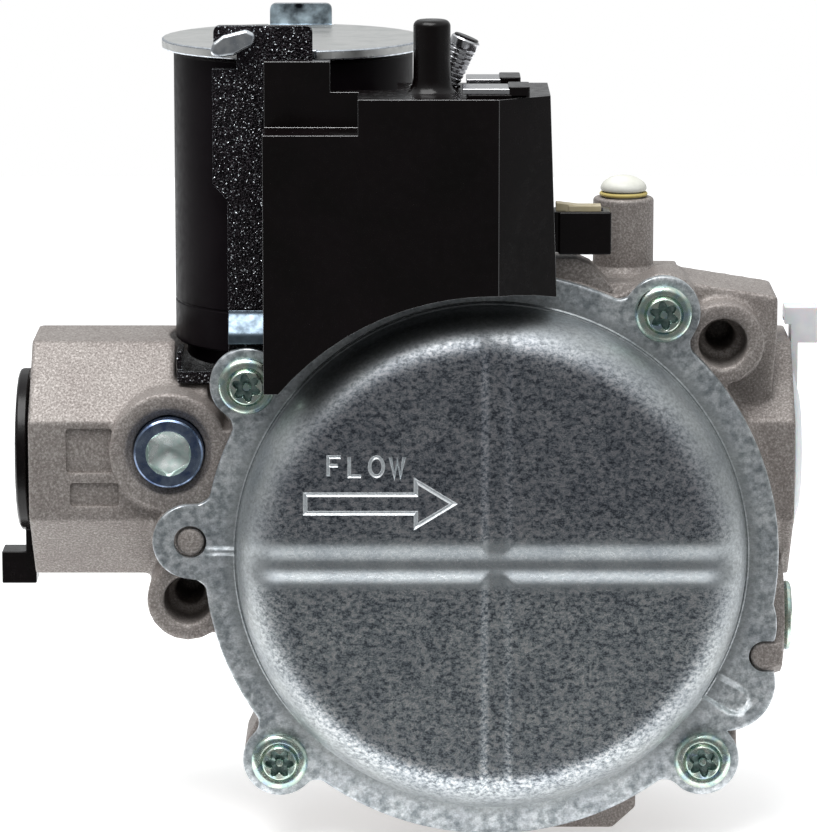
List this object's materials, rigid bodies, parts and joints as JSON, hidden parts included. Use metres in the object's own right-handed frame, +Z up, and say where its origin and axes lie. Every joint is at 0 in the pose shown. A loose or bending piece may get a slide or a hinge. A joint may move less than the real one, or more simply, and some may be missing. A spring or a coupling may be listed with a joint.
{
  "type": "gas valve",
  "caption": "Furnace gas valve: cast body with straight-through threaded ports, round stamped diaphragm cover, solenoid, black control housing and regulator tower.",
  "frame": {"origin": "centre of the inlet port, on its end face", "axes": "+X along the gas flow, from inlet to outlet; +Y from the diaphragm cover to the back of the body; +Z up, towards the solenoid's top plate"},
  "size_m": [0.1174, 0.052, 0.1168],
  "materials": {
    "cast_aluminium": "die-cast, grey, fine as-cast grain, machined port and joint faces",
    "zinc_sheet": "zinc-plated pressed steel, bluish, mottled spangle",
    "zinc_fastener": "bright zinc plate with a pale green and yellow sheen",
    "dark_zinc": "zinc-plated steel strip, dark reflecting, fine sparkle",
    "bright_steel": "turned bright steel",
    "black_plastic": "moulded black thermoplastic, semi-gloss",
    "copper_winding": "enamelled copper wire",
    "black_rubber": "moulded nitrile rubber",
    "white_plastic": "translucent white polyethylene",
    "cream_plastic": "cream moulded plastic",
    "brass": "turned brass",
    "yellow_rubber": "pale yellow sealing ring"
  },
  "bodies": {
    "valve": {"valve_body": "cast_aluminium", "inlet_screen": "bright_steel", "inlet_tap_plug": "zinc_fastener", "outlet_tap_plug": "zinc_fastener", "diaphragm_cover": "zinc_sheet", "main_diaphragm": "black_rubber", "cover_screw_1": "zinc_fastener", "cover_screw_2": "zinc_fastener", "cover_screw_3": "zinc_fastener", "cover_screw_4": "zinc_fastener", "main_valve_spring": "bright_steel", "main_spring_plug": "cast_aluminium", "coil_jacket": "black_plastic", "coil_bobbin": "black_plastic", "coil_winding": "copper_winding", "frame_top_plate": "zinc_sheet", "plunger_tube": "bright_steel", "tube_seal_ring": "black_rubber", "pole_piece": "bright_steel", "plunger_spring": "bright_steel", "solenoid_frame": "dark_zinc", "operator_cover": "black_plastic", "terminal_front": "bright_steel", "terminal_rear": "bright_steel", "switch_housing": "black_plastic", "servo_bobbin": "white_plastic", "servo_winding": "copper_winding", "servo_core": "bright_steel", "servo_spring": "bright_steel", "servo_bracket": "dark_zinc", "side_connector": "black_plastic", "connector_insert": "cream_plastic", "regulator_housing": "cast_aluminium", "regulator_diaphragm": "black_rubber", "regulator_spring": "bright_steel", "regulator_cap_ring": "yellow_rubber"},
    "main_valve": {"diaphragm_plate": "zinc_sheet", "diaphragm_washer": "zinc_sheet", "main_valve_stem": "bright_steel", "main_valve_seal": "black_rubber", "main_valve_disc": "bright_steel"},
    "first_valve": {"plunger": "bright_steel", "first_valve_seal": "black_rubber"},
    "toggle": {"toggle_lever": "bright_steel"},
    "servo_valve": {"servo_plunger": "bright_steel"},
    "regulator_valve": {"regulator_spring_cup": "bright_steel"},
    "regulator_adjuster": {"regulator_screw": "brass"},
    "seal_cap": {"regulator_seal_cap": "white_plastic"},
    "inlet_cap": {"inlet_dust_cap": "black_plastic"},
    "outlet_cap": {"outlet_dust_cap": "white_plastic"}
  },
  "joints": [
    {"name": "main_valve_slide", "type": "slide", "parent": "valve", "child": "main_valve", "axis": [0, 1, 0], "range_m": [0, 0.003], "stiffness_N_per_m": 250, "springref_m": -0.003, "deforming": ["main_valve_spring", "main_diaphragm"]},
    {"name": "first_valve_slide", "type": "slide", "parent": "valve", "child": "first_valve", "axis": [0, 0, 1], "range_m": [0, 0.003], "stiffness_N_per_m": 150, "springref_m": -0.008, "deforming": ["plunger_spring"]},
    {"name": "toggle_hinge", "type": "hinge", "parent": "valve", "child": "toggle", "pos_m": [0.05735, -0.017, 0.0507], "axis": [0, 1, 0], "range_deg": [-44, 0]},
    {"name": "servo_valve_slide", "type": "slide", "parent": "valve", "child": "servo_valve", "axis": [0, 0, 1], "range_m": [0, 0.0012], "stiffness_N_per_m": 60, "springref_m": -0.003, "deforming": ["servo_spring"]},
    {"name": "regulator_valve_slide", "type": "slide", "parent": "valve", "child": "regulator_valve", "axis": [0, 0, -1], "range_m": [0, 0.0015], "stiffness_N_per_m": 300, "deforming": ["regulator_spring", "regulator_diaphragm"]},
    {"name": "regulator_adjuster_hinge", "type": "hinge", "parent": "valve", "child": "regulator_adjuster", "pos_m": [0.0841, -0.005, 0.0327], "axis": [0, 0, 1], "range_deg": [-720, 720]},
    {"name": "seal_cap_slide", "type": "slide", "parent": "valve", "child": "seal_cap", "axis": [0, 0, 1], "range_m": [0, 0.01]},
    {"name": "inlet_cap_slide", "type": "slide", "parent": "valve", "child": "inlet_cap", "axis": [-1, 0, 0], "range_m": [0, 0.02]},
    {"name": "outlet_cap_slide", "type": "slide", "parent": "valve", "child": "outlet_cap", "axis": [1, 0, 0], "range_m": [0, 0.02]}
  ]
}
